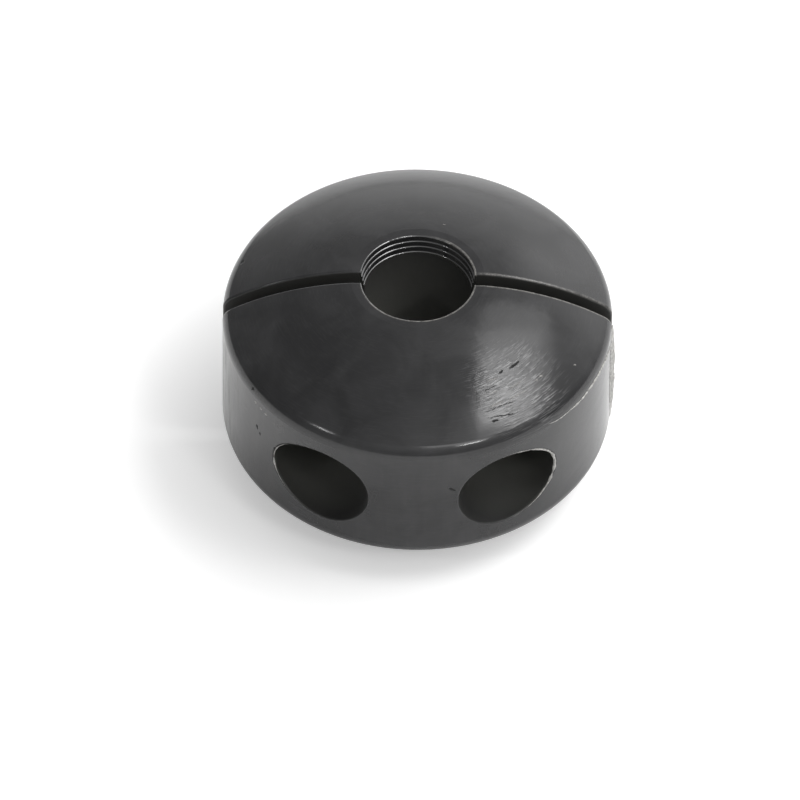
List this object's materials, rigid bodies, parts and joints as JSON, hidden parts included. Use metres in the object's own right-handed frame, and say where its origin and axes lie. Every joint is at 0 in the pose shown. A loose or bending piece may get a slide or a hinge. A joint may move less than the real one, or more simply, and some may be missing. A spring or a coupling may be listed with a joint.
{
  "type": "hose stopper",
  "caption": "Round domed rubber hose stop in two halves, with a central hose bore and side pockets for its clamp screws.",
  "frame": {"origin": "on the centre line of the hose bore, level with the lower flat land that the stop rests on", "axes": "+Z along the hose, up; +Y from the half that holds the screw heads towards the half that holds the nuts, along the screws; X along the parting gap"},
  "size_m": [0.07, 0.07, 0.043],
  "materials": {
    "rubber": "moulded, satin, lightly scuffed",
    "zinc_plated_steel": "bright zinc plated"
  },
  "bodies": {
    "root": {"front_half": "rubber", "rear_half": "rubber", "clamp_screws": "zinc_plated_steel", "flat_washers": "zinc_plated_steel", "hex_nuts": "zinc_plated_steel"}
  },
  "joints": []
}
